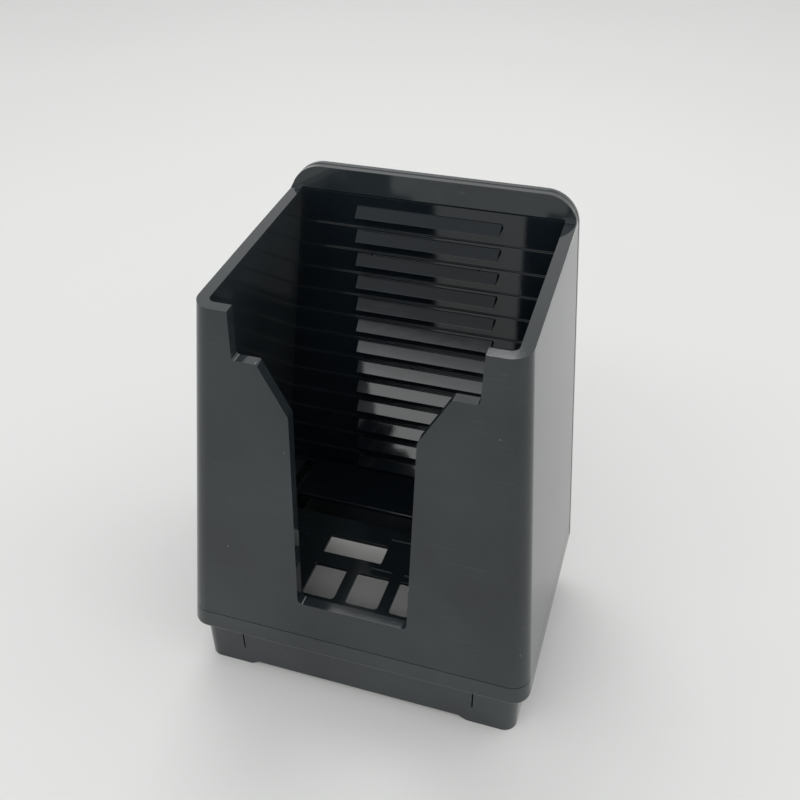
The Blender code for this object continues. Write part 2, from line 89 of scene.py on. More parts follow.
# Front cut-out, half of it, from the top down
EAR_TOP_X = 41.5
EAR_FOOT_X = 40.8
NOTCH_Z = 140.4
NOTCH_X = 32.2
SLOT_TOP_X = 21.8
SLOT_TOP_Z = 122.8
SLOT_FOOT_X = 20.85
SLOT_FOOT_Z = 44.2
EAR_FOOT_RADIUS = 1.4
NOTCH_RADIUS = 1.2
SLOT_TOP_RADIUS = 4.0
SLOT_FOOT_RADIUS = 2.0

# Toothed back panel, let into the shell by PANEL_SEAT so that no gap shows beside it
ROWS = 13
ROW_PITCH = 9.41
FIRST_TOOTH_Z = 157.66
TOOTH_HEIGHT = 3.45
TOOTH_REACH = 4.0
TOOTH_LIP = 0.35
TOOTH_ROOT = 0.6
TOOTH_UNDERCUT = 0.4
TOOTH_HALF_WIDTH = 27.4
BAND_ABOVE_TOOTH = 0.85
BAND_BELOW_TOOTH_TOP = 4.26
LEDGE = 0.9
LEDGE_RISE = 0.4
PANEL_BACK = 1.45
PANEL_SEAT = 0.2
PANEL_SOFT = 0.22
PANEL_SOFT_LIMIT = 40.0

# Back cover, almost touching the shell so that no gap shows along its top
COVER_FRONT = 3.05
COVER_BACK = 5.5
COVER_TOP_Z = 170.7
COVER_FOOT_Z = 21.2
COVER_CORNER = 12.5
COVER_SOFT = 0.5

# Card floor and rear platform
FLOOR_Z = 39.5
FLOOR_THICKNESS = 1.3
FLOOR_HALF_WIDTH = 60.0
FLOOR_FRONT_Y = -45.9
FLOOR_BACK_Y = 1.7
SKIRT = 2.0
FLOOR_SOFT = 0.3
HOLE_WIDTH = 12.8
HOLE_FRONT_RADIUS = 1.6
HOLE_BACK_RADIUS = 0.5
HOLE_PITCH = 17.2
HOLE_FRONT_Y = -40.6
HOLE_BACK_Y = -24.9
REAR_HOLE = (-23.4, 0.6, -18.3, -8.5)
FLOOR_RIBS = ((-2.2, 6.2, -21.2), (11.2, 24.0, -21.2), (0.5, 24.0, -4.3))
RIB_WIDTH = 0.7
RIB_HEIGHT = 0.45
PLATFORM_HALF_WIDTH = 46.8
PLATFORM_FRONT_Y = 10.4
PLATFORM_BACK_Y = 34.5
PLATFORM_SOFT = 0.5

# Base tray: the band under the seam, with the plate that the floor parts stand on
TRAY_FOOT_Z = 20.5
TRAY_EDGE_RADIUS = 1.5
TRAY_OPENING = (-49.0, 49.0, -41.3, 8.6)
TRAY_OPENING_RADIUS = 4.0

# Plinth
PLINTH_HALF_WIDTH = 62.8
PLINTH_FRONT_Y = -49.7
PLINTH_BACK_Y = 33.9
PLINTH_TOP_Z = TRAY_FOOT_Z - GAP
PLINTH_WALL = 2.6
PLINTH_CORNER = 5.0
PLINTH_SOFT = 0.3
PLINTH_EDGE_SEGMENTS = 2
CORE_CORNER = 2.4
FOOT_INNER_X = 44.2
FOOT_INNER_Y = 25.0
FOOT_HEIGHT = 1.94
FOOT_SLANT = 3.0
TAB_FOOT_Z = 16.6
TAB_SIZE = 15.0
TAB_LEDGE = 0.4
SLIT_X = 46.2
SLIT_FOOT_Z = 8.9
SLIT_WIDTH = 0.5
REAR_ARCH_Z = 15.0
REAR_ARCH_RADIUS = 3.0

# Screws
SCREW_SHANK = 1.5
SCREW_HEAD = 3.0
SCREW_HEAD_HEIGHT = 1.8
BASE_SCREW_X = 56.2
BASE_SCREW_Y = (-43.1, 27.3)
BASE_SCREW_LENGTH = 18.0
REAR_SCREW_X = 21.0
REAR_SCREW_ROWS = (2, 10)
REAR_SCREW_LENGTH = 6.0
REAR_SCREW_LIFT = 1.9
REAR_SHANK = 1.0
REAR_HEAD = 2.2
REAR_HEAD_HEIGHT = 1.3

THREAD_PITCH = 0.7
THREAD_DEPTH = 0.16

# Shape of a screw, as shares of its shank's or head's size
TIP_SHARE = 0.4
RIM_SHARE = 0.45
TOP_SHARE = 0.35
RECESS_ARM = 0.12
RECESS_REACH = 0.5
RECESS_FLOOR = 0.35

# Smoothness of arcs and edges
ARC_STEPS = 12
TOP_ARC_STEPS = 20
ROUND_SIDES = 48
SHARP_ANGLE = 32.0
SOFT_LIMIT = 35.0
EDGE_SEGMENTS = 4
SHADING_WEIGHT = 100

# Cutters run PAST a face to clear it, and FAR to clear the whole shoe. The ones that round the
# back wall's top start SHOULDER_DROP below the back of the rims.
PAST = 5.0
FAR = 90.0
SHOULDER_DROP = 12.0

# Camera and stage
CAMERA_PLACE = (87.41, -256.425, 310.0)
CAMERA_TURNS = (18.2094, 37.5471, -0.7669)
FOCAL_LENGTH = 42.244
SENSOR_WIDTH = 36.0
CAMERA_SHIFT = (0.00075, 0.01204)
TABLE_REACH = 1.5
ROOM_LOW_COLOUR = (1.0, 1.0, 0.99)
ROOM_HIGH_COLOUR = (0.5, 0.51, 0.52)
ROOM_FADE = (0.57, 0.77)
LIGHT_TARGET = Vector((0.0, 0.0, 0.08))
# Name, azimuth, elevation, distance in metres, size in metres, power in watts
SOFTBOXES = (
    ("front_window_low", 186, 50.45, 1.2, (1.17, 0.263), 0.84),
    ("front_window_middle", 186, 51.35, 1.2, (1.17, 0.301), 0.96),
    ("front_window_high", 186, 52.25, 1.2, (1.17, 0.339), 1.08),
    ("right_softbox", 80, 58, 1.3, (0.8, 0.8), 2.2),
    ("back_left_softbox", 335, 58, 1.1, (0.5, 0.5), 2.6),
)

# Colours
DUST_COLOUR = (0.32, 0.32, 0.31)
STEEL_DEEP = (0.42, 0.42, 0.43)
STEEL_PALE = (0.6, 0.6, 0.62)
TABLE_DEEP = (0.715, 0.717, 0.705)
TABLE_PALE = (0.745, 0.747, 0.735)

# Plastic: brightness of its deep, pale and scratched patches as shares of its colour
TONE_DEEP = 0.8
TONE_PALE = 1.3
TONE_SCRATCHED = 1.9

# Plastic: noise scales in waves per metre
TONE_WAVES = 21.0
SMUDGE_WAVES = 34.0
STREAK_WAVES = (60.0, 60.0, 9.0)
STREAK_TURN = (0.3, 0.2, 0.5)
WORN_WAVES = 55.0
SKIN_WAVES = 130.0
DUST_CELLS = 210.0
GRAIN_WAVES = 1900.0
FINE_WAVES = 2600.0

# Plastic: each set of scratches by its turn, its scales along and across, and its width
SCRATCHES = (((0.4, 0.9, 0.3), 14.0, 520.0, 0.006), ((-0.7, 0.2, 1.2), 18.0, 640.0, 0.005))
SPECK_SIZE = 0.045

# Plastic: what scratches, dust and fine grain add to the roughness
SCRATCH_ROUGHER = 0.06
DUST_ROUGHER = 0.5
FINE_ROUGHER = 0.02
EDGE_SMUDGE_RISE = 1.4

# Bumps of each surface: distance in metres and strength
SKIN_BUMP = (0.0004, 0.035)
GRAIN_BUMP = (0.00002, 0.25)
SCRATCH_BUMP = (0.00003, -0.3)
STEEL_BUMP = (0.00002, 0.3)
TABLE_BUMP = (0.00005, 0.1)

TOOLS = []


def half_width(z):
    """Half the body's outer width at height z."""
    return SEAM_HALF_WIDTH - SIDE_FLARE * (z - SEAM_Z)


def front_y(z):
    """Y of the body's outer front face at height z."""
    return SEAM_FRONT_Y + FRONT_LEAN * (z - SEAM_Z)


def wall_y(z):
    """Y of the toothed panel's front plane at height z."""
    return SEAM_WALL_Y + BACK_LEAN * (z - SEAM_Z)


# ---------------------------------------------------------------- outlines


def rounded_polygon(corners, steps=ARC_STEPS):
    """Points of a polygon whose corners (a, b, radius) are rounded where radius > 0."""
    points = []
    count = len(corners)
    for index, (a, b, radius) in enumerate(corners):
        here = Vector((a, b))
        if radius <= 0:
            points.append(tuple(here))
            continue
        before = Vector(corners[index - 1][:2]) - here
        after = Vector(corners[(index + 1) % count][:2]) - here
        before.normalize()
        after.normalize()
        half_angle = before.angle(after) / 2
        centre = here + (before + after).normalized() * (radius / math.sin(half_angle))
        start = here + before * (radius / math.tan(half_angle)) - centre
        end = here + after * (radius / math.tan(half_angle)) - centre
        turn = start.angle_signed(end)
        for step in range(steps + 1):
            angle = -turn * step / steps
            spun = Matrix.Rotation(angle, 2) @ start
            points.append(tuple(centre + spun))
    return points


def rectangle(x0, x1, y0, y1, radius=0.0, back_radius=None):
    """Outline of a rectangle, with one radius at its front and another at its back."""
    back = radius if back_radius is None else back_radius
    return rounded_polygon([(x0, y0, radius), (x1, y0, radius), (x1, y1, back), (x0, y1, back)])


def body_outline(z, side, front, back, inset=0.0):
    """Section of the body at height z; side, front and back are set-ins from its planes."""
    reach = half_width(z) - side - inset
    front_edge = front_y(z) + front + inset
    back_edge = wall_y(z) + back - inset
    corner = max(CORNER_RADIUS - max(side, front) - inset, LEAST_CORNER)
    return rectangle(-reach, reach, front_edge, back_edge, corner, BACK_CORNER_RADIUS)


def mirrored(half):
    """Close an outline from its right half, given as (x, z, radius) from the top down."""
    return half + [(-x, z, radius) for x, z, radius in reversed(half)]


# ---------------------------------------------------------------- solids


def add_object(name, rings):
    """Make an object from rings of millimetre points, bridged in order and capped.

    It gets two empty material slots, one for its faces and one for its softened edges.
    """
    mesh = bpy.data.meshes.new(name)
    body = bmesh.new()
    loops = [[body.verts.new(Vector(point) * MM) for point in ring] for ring in rings]
    for lower, upper in zip(loops, loops[1:]):
        count = len(lower)
        for index in range(count):
            following = (index + 1) % count
            body.faces.new((lower[index], lower[following], upper[following], upper[index]))
    body.faces.new(list(reversed(loops[0])))
    body.faces.new(loops[-1])
    bmesh.ops.recalc_face_normals(body, faces=body.faces)
    body.to_mesh(mesh)
    body.free()
    for _ in range(2):
        mesh.materials.append(None)
    thing = bpy.data.objects.new(name, mesh)
    bpy.context.scene.collection.objects.link(thing)
    return thing


def prism_x(name, outline, x0, x1):
    """Extrude an outline of (y, z) points from x0 to x1."""
    return add_object(name, [[(x, y, z) for y, z in outline] for x in (x0, x1)])


def prism_y(name, outline, y0, y1):
    """Extrude an outline of (x, z) points from y0 to y1."""
    return add_object(name, [[(x, y, z) for x, z in outline] for y in (y0, y1)])


def prism_z(name, outline, z0, z1):
    """Extrude an outline of (x, y) points from z0 to z1."""
    return add_object(name, [[(x, y, z) for x, y in outline] for z in (z0, z1)])


def loft(name, sections):
    """Join sections, each an outline of (x, y) points and its height, into one solid."""
    return add_object(name, [[(x, y, z) for x, y in outline] for outline, z in sections])


def body_loft(name, z0, z1, side, front, back):
    """Straight loft between the body's sections at z0 and z1."""
    return loft(name, [(body_outline(z, side, front, back), z) for z in (z0, z1)])


def turned(name, profile):
    """Solid of revolution about Z from (radius, z) points, first and last on the axis."""
    mesh = bpy.data.meshes.new(name)
    body = bmesh.new()
    verts = [body.verts.new(Vector((radius, 0, z)) * MM) for radius, z in profile]
    edges = [body.edges.new(pair) for pair in zip(verts, verts[1:])]
    bmesh.ops.spin(
        body,
        geom=verts + edges,
        axis=(0, 0, 1),
        cent=(0, 0, 0),
        steps=ROUND_SIDES,
        angle=math.tau,
        use_duplicate=False,
    )
    bmesh.ops.remove_doubles(body, verts=body.verts, dist=WELD * MM)
    bmesh.ops.recalc_face_normals(body, faces=body.faces)
    body.to_mesh(mesh)
    body.free()
    thing = bpy.data.objects.new(name, mesh)
    bpy.context.scene.collection.objects.link(thing)
    return thing


# ---------------------------------------------------------------- modifiers


def combine(target, tool, operation="DIFFERENCE"):
    """Cut the tool from the target, or join them; settle removes the tool."""
    TOOLS.append(tool)
    modifier = target.modifiers.new(tool.name, "BOOLEAN")
    modifier.operation = operation
    modifier.solver = "EXACT"
    modifier.object = tool


def soften(target, width, segments=EDGE_SEGMENTS, limit=SOFT_LIMIT):
    """Round every edge sharper than the limit, in degrees, with the edge material, whose paler
    colour is partly a painted highlight.
    """
    modifier = target.modifiers.new("soft_edges", "BEVEL")
    modifier.width = width * MM
    modifier.segments = segments
    modifier.limit_method = "ANGLE"
    modifier.angle_limit = math.radians(limit)
    modifier.material = 1


def settle(thing):
    """Apply a piece's modifiers to its mesh and remove the tools that they used."""
    bpy.context.view_layer.update()
    evaluated = thing.evaluated_get(bpy.context.evaluated_depsgraph_get())
    mesh = bpy.data.meshes.new_from_object(evaluated)
    thing.modifiers.clear()
    thing.data = mesh
    thing.data.transform(thing.matrix_world)
    thing.matrix_world = Matrix.Identity(4)
    while TOOLS:
        bpy.data.objects.remove(TOOLS.pop(), do_unlink=True)


def check_fit(thing, node):
    """Stop the script where a piece's box isn't close to its CAD node's box."""
    corners = [vertex.co for vertex in thing.data.vertices]
    for cad_corner, pick in zip(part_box(node), (min, max)):
        for axis in range(3):
            own = pick(corner[axis] for corner in corners)
            if abs(own - cad_corner[axis]) > FIT_TOLERANCE * MM:
                raise ValueError(f"{thing.name} isn't where {node} is: {own} {cad_corner}")


def finish(thing, node, materials):
    """Make a piece stand for its CAD node, with its face and edge materials."""
    settle(thing)
    thing.name = f"{node}_detail"
    thing.data.materials.clear()
    for material in materials:
        thing.data.materials.append(material)
    thing.data.shade_smooth()
    thing.data.set_sharp_from_angle(angle=math.radians(SHARP_ANGLE))
    even = thing.modifiers.new("even_shading", "WEIGHTED_NORMAL")
    even.keep_sharp = True
    even.weight = SHADING_WEIGHT
    check_fit(thing, node)
    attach(thing, "root")
    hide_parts(node)


# ---------------------------------------------------------------- sub-parts


def front_cutout_outline():
    """Ears, notch, slanting throat and finger slot of the front wall, as (x, z) points."""
    return rounded_polygon(
        mirrored(
            [
                (EAR_TOP_X, RIM_BACK_Z + PAST, 0),
                (EAR_FOOT_X, NOTCH_Z, EAR_FOOT_RADIUS),
                (NOTCH_X, NOTCH_Z, NOTCH_RADIUS),
                (SLOT_TOP_X, SLOT_TOP_Z, SLOT_TOP_RADIUS),
                (SLOT_FOOT_X, SLOT_FOOT_Z, SLOT_FOOT_RADIUS),
            ]
        )
    )


def top_outline(top_z, corner):
    """Outline, in (x, z), of what lies above and beside a round-cornered back wall."""
    foot_z = RIM_BACK_Z - SHOULDER_DROP
    shoulder = half_width(top_z)
    foot = half_width(foot_z)
    right = [
        (shoulder, top_z, corner),
        (foot, foot_z + GAP, 0),
        (foot + PAST, foot_z, 0),
        (FAR, foot_z, 0),
        (FAR, top_z + 2 * PAST, 0),
    ]
    left = [(-x, z, radius) for x, z, radius in reversed(right)]
    return rounded_polygon(left + right, steps=TOP_ARC_STEPS)


def shell_inside(z0, z1):
    """Space inside the shell, deeper where the toothed panel sits than at the flange."""
    heights = (
        (z0, POCKET_SETBACK),
        (RIM_BACK_Z, POCKET_SETBACK),
        (RIM_BACK_Z + LEDGE_RISE, FLANGE_SETBACK),
        (z1, FLANGE_SETBACK),
    )
    sections = [
        (body_outline(z, SIDE_THICKNESS, FRONT_THICKNESS, back), z) for z, back in heights
    ]
    return loft("shell_inside", sections)


def above_rims():
    """All that lies above the rims, with a slanting facet where they meet the flange."""
    end_y = wall_y(RIM_BACK_Z) + FLANGE_SETBACK
    front_z = RIM_FRONT_Z + RIM_SLOPE * (-FAR - front_y(RIM_FRONT_Z))
    outline = [
        (-FAR, front_z),
        (end_y - FACET, RIM_BACK_Z - RIM_SLOPE * FACET),
        (end_y + BACK_LEAN * FACET, RIM_BACK_Z + FACET),
        (wall_y(2 * RIM_BACK_Z) + FLANGE_SETBACK, 2 * RIM_BACK_Z),
        (-FAR, 2 * RIM_BACK_Z),
    ]
    return prism_x("above_rims", outline, -FAR, FAR)


def build_outer_shell(materials):
    """Front, sides and back of the bin in one moulding, open above and below."""
    z0 = SEAM_Z + GAP
    z1 = FLANGE_TOP_Z + PAST
    shell = body_loft("outer_shell", z0, z1, 0, 0, SHELL_BACK)
    combine(shell, shell_inside(z0 - PAST, z1 + PAST))
    combine(shell, above_rims())
    above = top_outline(FLANGE_TOP_Z, FLANGE_CORNER)
    combine(shell, prism_y("above_flange", above, 0, FAR))
    combine(shell, prism_y("front_cutout", front_cutout_outline(), -FAR, SEAM_FRONT_Y / 2))
    soften(shell, SHELL_SOFT)
    for side in (-1, 1):
        x0, x1 = sorted(side * x for x in BOSS_X)
        for y0, y1 in BOSS_Y:
            outline = rectangle(x0, x1, y0, y1)
            combine(shell, prism_z("screw_boss", outline, z0 + BOSS_LIFT, BOSS_TOP_Z), "UNION")
    for x, y in base_screw_places():
        hole = circle(x, y, SCREW_SHANK + GAP)
        combine(shell, prism_z("shell_pilot", hole, z0 - PAST, BOSS_TOP_Z - PILOT_COVER))
    for x, z in rear_screw_places():
        combine(shell, rear_drill("shell_drill", x, z))
    finish(shell, "outer_shell", materials)


def panel_profile():
    """Stepped side view of the toothed panel, as (y, z) points, from the top down."""
    top_z = RIM_BACK_Z + PANEL_SEAT
    foot_z = SEAM_Z + 2 * GAP
    band_y = wall_y(FIRST_TOOTH_Z + BAND_ABOVE_TOOTH)
    points = [(band_y, top_z)]
    for row in range(ROWS):
        tooth_z = FIRST_TOOTH_Z - row * ROW_PITCH
        next_band_z = tooth_z - ROW_PITCH + BAND_ABOVE_TOOTH
        points.append((band_y, tooth_z - BAND_BELOW_TOOTH_TOP))
        band_y = wall_y(next_band_z)
        points.append((band_y + LEDGE, next_band_z))
        points.append((band_y, next_band_z))
    points.append((band_y, foot_z))
    points.append((wall_y(foot_z) + PANEL_BACK, foot_z))
    points.append((wall_y(top_z) + PANEL_BACK, top_z))
    return points


def build_rib_panel(materials):
    """Stepped panel behind the cards, with a sawtooth in the middle of each row."""
    reach = SEAM_HALF_WIDTH
    panel = prism_x("rib_panel", panel_profile(), -reach, reach)
    clear = SIDE_THICKNESS - PANEL_SEAT
    low, high = SEAM_Z - PAST, RIM_BACK_Z + PAST
    sides = [
        (-half_width(low) + clear, low),
        (half_width(low) - clear, low),
        (half_width(high) - clear, high),
        (-half_width(high) + clear, high),
    ]
    keep = prism_y("panel_sides", sides, SEAM_WALL_Y / 2, FAR)
    combine(panel, keep, "INTERSECT")
    for row in range(ROWS):
        tooth_z = FIRST_TOOTH_Z - row * ROW_PITCH
        band_y = wall_y(tooth_z + BAND_ABOVE_TOOTH)
        tooth = prism_x(
            f"tooth_{row + 1}",
            [
                (band_y + TOOTH_ROOT, tooth_z),
                (band_y - TOOTH_LIP, tooth_z),
                (band_y - TOOTH_REACH, tooth_z - TOOTH_HEIGHT),
                (band_y + TOOTH_ROOT, tooth_z - TOOTH_HEIGHT + TOOTH_UNDERCUT),
            ],
            -TOOTH_HALF_WIDTH,
            TOOTH_HALF_WIDTH,
        )
        combine(panel, tooth, "UNION")
    soften(panel, PANEL_SOFT, limit=PANEL_SOFT_LIMIT)
    for x, z in rear_screw_places():
        combine(panel, rear_drill("panel_drill", x, z))
    finish(panel, "rib_panel", materials)


def build_back_cover(materials):
    """Flat outer skin of the back wall, with round top corners."""
    sections = []
    for z in (COVER_FOOT_Z, COVER_TOP_Z + PAST):
        reach = half_width(z)
        outline = rectangle(-reach, reach, wall_y(z) + COVER_FRONT, wall_y(z) + COVER_BACK)
        sections.append((outline, z))
    cover = loft("back_cover", sections)
    above = top_outline(COVER_TOP_Z, COVER_CORNER)
    combine(cover, prism_y("above_cover", above, 0, FAR))
    soften(cover, COVER_SOFT)
    for x, z in rear_screw_places():
        combine(cover, rear_drill("cover_drill", x, z))
    finish(cover, "back_cover", materials)


def floor_block(name, reach, y0, y1):
    """Block from the seam up to the card floor's height, open below, with a skirt all round."""
    z0 = SEAM_Z + GAP
    block = prism_z(name, rectangle(-reach, reach, y0, y1), z0, FLOOR_Z)
    inside = rectangle(-reach + SKIRT, reach - SKIRT, y0 + SKIRT, y1 - SKIRT)
    combine(block, prism_z(f"{name}_inside", inside, z0 - PAST, FLOOR_Z - FLOOR_THICKNESS))
    return block


def build_floor_grid(materials):
    """Raised card floor with three holes in front and one behind, on a skirt."""
    z0 = SEAM_Z + GAP
    floor = floor_block("floor_grid", FLOOR_HALF_WIDTH, FLOOR_FRONT_Y, FLOOR_BACK_Y)
    for side in (-1, 1):
        x0, x1 = sorted((side * (BOSS_X[0] - GAP), side * FAR))
        room = rectangle(x0, x1, -FAR, BOSS_Y[0][1] + GAP)
        combine(floor, prism_z("boss_room", room, z0 - PAST, FLOOR_Z + PAST))
    for number in (-1, 0, 1):
        x0 = number * HOLE_PITCH - HOLE_WIDTH / 2
        x1 = x0 + HOLE_WIDTH
        radii = (HOLE_FRONT_RADIUS, HOLE_BACK_RADIUS)
        outline = rectangle(x0, x1, HOLE_FRONT_Y, HOLE_BACK_Y, *radii)
        combine(floor, prism_z("floor_hole", outline, z0, FLOOR_Z + PAST))
    outline = rectangle(*REAR_HOLE, HOLE_BACK_RADIUS)
    combine(floor, prism_z("rear_floor_hole", outline, z0, FLOOR_Z + PAST))
    for x0, x1, y in FLOOR_RIBS:
        outline = rectangle(x0, x1, y - RIB_WIDTH / 2, y + RIB_WIDTH / 2)
        rib = prism_z("floor_rib", outline, FLOOR_Z - FLOOR_THICKNESS / 2, FLOOR_Z + RIB_HEIGHT)
        combine(floor, rib, "UNION")
    soften(floor, FLOOR_SOFT)
    finish(floor, "floor_grid", materials)


def build_rear_platform(materials):
    """Hollow block that carries the rear edge of the cards."""
    block = floor_block(
        "rear_platform", PLATFORM_HALF_WIDTH, PLATFORM_FRONT_Y, PLATFORM_BACK_Y
    )
    soften(block, PLATFORM_SOFT)
    finish(block, "rear_platform", materials)


def build_base_tray(materials):
    """Band under the seam with a round lower edge, and the plate inside it."""
    sections = []
    for step in range(ARC_STEPS + 1):
        angle = math.pi / 2 * step / ARC_STEPS
        inset = TRAY_EDGE_RADIUS * (1 - math.sin(angle))
        z = TRAY_FOOT_Z + TRAY_EDGE_RADIUS * (1 - math.cos(angle))
        sections.append((body_outline(z, 0, 0, SHELL_BACK, inset), z))
    sections.append((body_outline(SEAM_Z, 0, 0, SHELL_BACK), SEAM_Z))
    tray = loft("base_tray", sections)
    z0, z1 = TRAY_FOOT_Z - PAST, SEAM_Z + PAST
    opening = rectangle(*TRAY_OPENING, TRAY_OPENING_RADIUS)
    combine(tray, prism_z("tray_opening", opening, z0, z1))
    for x, y in base_screw_places():
        combine(tray, prism_z("tray_hole", circle(x, y, SCREW_SHANK + GAP), z0, z1))
    finish(tray, "base_tray", materials)


def foot_gap_outline(inner, centre=0.0):
    """Shallow recess between two feet, with slanting ends, as (a, z) points."""
    return [
        (centre - inner, -PAST),
        (centre + inner, -PAST),
        (centre + inner, 0),
        (centre + inner - FOOT_SLANT, FOOT_HEIGHT),
        (centre - inner + FOOT_SLANT, FOOT_HEIGHT),
        (centre - inner, 0),
    ]


def build_plinth(materials):
    """Stand of the shoe: a low wall on four corner feet, with screw tabs in its corners."""
    outline = rectangle(
        -PLINTH_HALF_WIDTH, PLINTH_HALF_WIDTH, PLINTH_FRONT_Y, PLINTH_BACK_Y, PLINTH_CORNER
    )
    plinth = prism_z("plinth", outline, 0, PLINTH_TOP_Z)
    x_in = PLINTH_HALF_WIDTH - PLINTH_WALL
    y_front = PLINTH_FRONT_Y + PLINTH_WALL
    y_back = PLINTH_BACK_Y - PLINTH_WALL
    inner = rectangle(-x_in, x_in, y_front, y_back, CORE_CORNER)
    combine(plinth, prism_z("plinth_core", inner, -PAST, TAB_FOOT_Z))
    x_top = x_in - TAB_LEDGE
    y_near = y_front + TAB_LEDGE
    y_far = y_back - TAB_LEDGE
    between_tabs = [
        (-x_top, y_near + TAB_SIZE),
        (-x_top + TAB_SIZE, y_near),
        (x_top - TAB_SIZE, y_near),
        (x_top, y_near + TAB_SIZE),
        (x_top, y_far - TAB_SIZE),
        (x_top - TAB_SIZE, y_far),
        (-x_top + TAB_SIZE, y_far),
        (-x_top, y_far - TAB_SIZE),
    ]
    z0, z1 = TAB_FOOT_Z - GAP, PLINTH_TOP_Z + PAST
    combine(plinth, prism_z("plinth_upper_core", between_tabs, z0, z1))
    combine(plinth, prism_y("front_foot_gap", foot_gap_outline(FOOT_INNER_X), -FAR, 0))
    middle = (PLINTH_FRONT_Y + PLINTH_BACK_Y) / 2
    combine(plinth, prism_x("side_foot_gap", foot_gap_outline(FOOT_INNER_Y, middle), -FAR, FAR))
    arch = rounded_polygon(
        [
            (-FOOT_INNER_X, -PAST, 0),
            (FOOT_INNER_X, -PAST, 0),
            (FOOT_INNER_X, REAR_ARCH_Z, REAR_ARCH_RADIUS),
            (-FOOT_INNER_X, REAR_ARCH_Z, REAR_ARCH_RADIUS),
        ]
    )
    combine(plinth, prism_y("rear_arch", arch, 0, FAR))
    for side in (-1, 1):
        x0 = side * SLIT_X - SLIT_WIDTH / 2
        outline = rectangle(x0, x0 + SLIT_WIDTH, -FAR, y_near + GAP)
        combine(plinth, prism_z("slit", outline, SLIT_FOOT_Z, z1))
    for x, y in base_screw_places():
        combine(plinth, prism_z("tab_hole", circle(x, y, SCREW_SHANK + GAP), z0 - PAST, z1))
    soften(plinth, PLINTH_SOFT, segments=PLINTH_EDGE_SEGMENTS)
    finish(plinth, "plinth", materials)


# ---------------------------------------------------------------- screws


def circle(x, y, radius):
    """Outline of a round hole."""
    angles = [math.tau * step / ROUND_SIDES for step in range(ROUND_SIDES)]
    return [(x + radius * math.cos(angle), y + radius * math.sin(angle)) for angle in angles]


def base_screw_places():
    """Plan positions of the four screws that come up through the plinth."""
    return [(side * BASE_SCREW_X, y) for y in BASE_SCREW_Y for side in (-1, 1)]


def rear_screw_places():
    """(x, z) of the four screws behind the thick part of two of the teeth."""
    drop = TOOTH_HEIGHT - REAR_SCREW_LIFT
    heights = [FIRST_TOOTH_Z - row * ROW_PITCH - drop for row in REAR_SCREW_ROWS]
    return [(side * REAR_SCREW_X, z) for z in heights for side in (-1, 1)]


def rear_matrix(x, z, depth):
    """Frame of a rear screw: +Z out of the back, at a depth behind the panel's plane."""
    tilt = math.pi / 2 + math.atan(BACK_LEAN)
    place = Vector((x, wall_y(z) + depth, z)) * MM
    return Matrix.Translation(place) @ Matrix.Rotation(-tilt, 4, "X")


def rear_drill(name, x, z):
    """Clearance hole for a rear screw, from behind the cover to past the screw's tip."""
    drill = prism_z(name, circle(0, 0, REAR_SHANK + GAP), -REAR_SCREW_LENGTH - GAP, PAST)
    drill.matrix_world = rear_matrix(x, z, COVER_BACK + GAP)
    return drill


def build_screw(name, matrix, length, shank, head, head_height, materials):
    """Pan-head screw with its head seat at the frame's origin and its shank down -Z."""
    profile = [(0, -length), (shank * TIP_SHARE, -length), (shank, -length + shank)]
    z = -length + shank
    while z < -2 * THREAD_PITCH:
        profile.append((shank - THREAD_DEPTH, z + THREAD_PITCH / 2))
        profile.append((shank, z + THREAD_PITCH))
        z += THREAD_PITCH
    profile += [(shank, 0), (head, 0)]
    for step in range(ARC_STEPS + 1):
        angle = math.pi / 2 * step / ARC_STEPS
        rise = head_height * (RIM_SHARE + (1 - RIM_SHARE) * math.sin(angle))
        profile.append((head * (TOP_SHARE + (1 - TOP_SHARE) * math.cos(angle)), rise))
    profile.append((0, head_height))
    screw = turned(name, profile)
    arm = head * RECESS_ARM
    reach = head * RECESS_REACH
    cross = [
        (-arm, -reach),
        (arm, -reach),
        (arm, -arm),
        (reach, -arm),
        (reach, arm),
        (arm, arm),
        (arm, reach),
        (-arm, reach),
        (-arm, arm),
        (-reach, arm),
        (-reach, -arm),
        (-arm, -arm),
    ]
    recess = prism_z(f"{name}_recess", cross, head_height * RECESS_FLOOR, head_height + PAST)
    screw.matrix_world = matrix
    recess.matrix_world = matrix
    combine(screw, recess)
    finish(screw, name, materials)


def build_screws(materials):
    """Four screws up through the plinth and four through the back cover."""
    head_down = Matrix.Rotation(math.pi, 4, "X")
    for number, (x, y) in enumerate(base_screw_places(), 1):
        place = Matrix.Translation(Vector((x, y, TAB_FOOT_Z - GAP)) * MM)
        sizes = (BASE_SCREW_LENGTH, SCREW_SHANK, SCREW_HEAD, SCREW_HEAD_HEIGHT)
        build_screw(f"base_screw_{number}", place @ head_down, *sizes, materials)
    for number, (x, z) in enumerate(rear_screw_places(), 1):
        sizes = (REAR_SCREW_LENGTH, REAR_SHANK, REAR_HEAD, REAR_HEAD_HEIGHT)
        matrix = rear_matrix(x, z, COVER_BACK + GAP)
        build_screw(f"rear_screw_{number}", matrix, *sizes, materials)


# ---------------------------------------------------------------- materials


